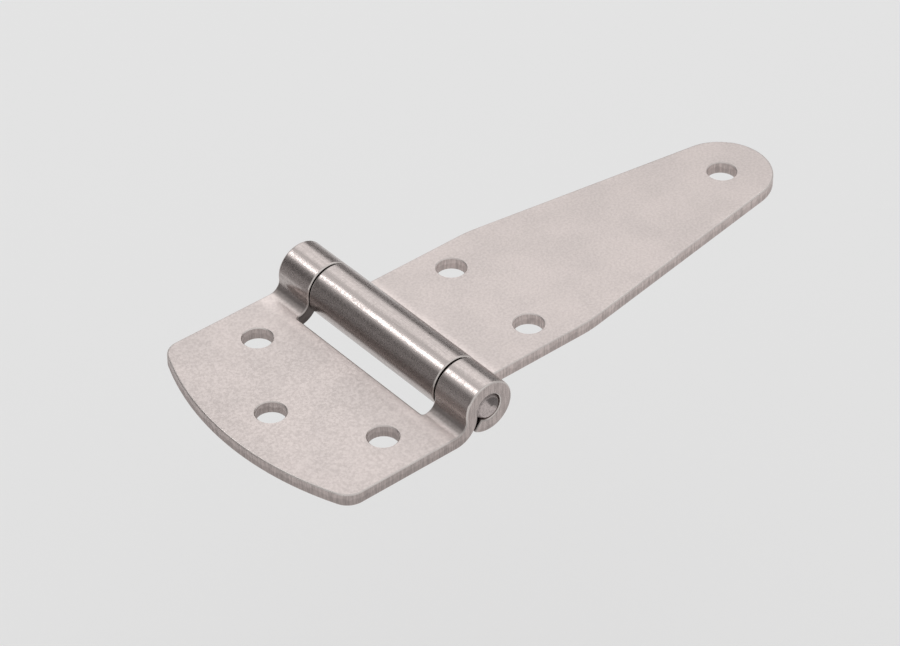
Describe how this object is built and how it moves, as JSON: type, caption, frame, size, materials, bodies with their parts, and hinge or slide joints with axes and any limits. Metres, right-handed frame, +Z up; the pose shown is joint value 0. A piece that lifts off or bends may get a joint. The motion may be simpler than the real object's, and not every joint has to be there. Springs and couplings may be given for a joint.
{
  "type": "flat hinge",
  "caption": "Flat strap hinge of stainless sheet: a short wide leaf and a long tapered strap, with knuckles rolled around a plain pin and screw holes in both leaves.",
  "frame": {"origin": "midway between the short leaf's two side holes, on the plane that both leaves are screwed to", "axes": "+X along the strap to its tip, +Y along the pin, +Z up from the mounting plane to the barrel"},
  "size_m": [0.15, 0.0618, 0.0125],
  "materials": {
    "stainless_sheet": "matte, tumbled",
    "stainless_pin": "turned, satin"
  },
  "bodies": {
    "leaf_body": {"short_leaf": "stainless_sheet", "hinge_pin": "stainless_pin"},
    "strap_body": {"strap_leaf": "stainless_sheet"}
  },
  "joints": [
    {"name": "strap_turn", "type": "hinge", "parent": "leaf_body", "child": "strap_body", "pos_m": [0.0195, 0, 0.0065], "axis": [0, -1, 0], "range_deg": [-107, 187]}
  ]
}
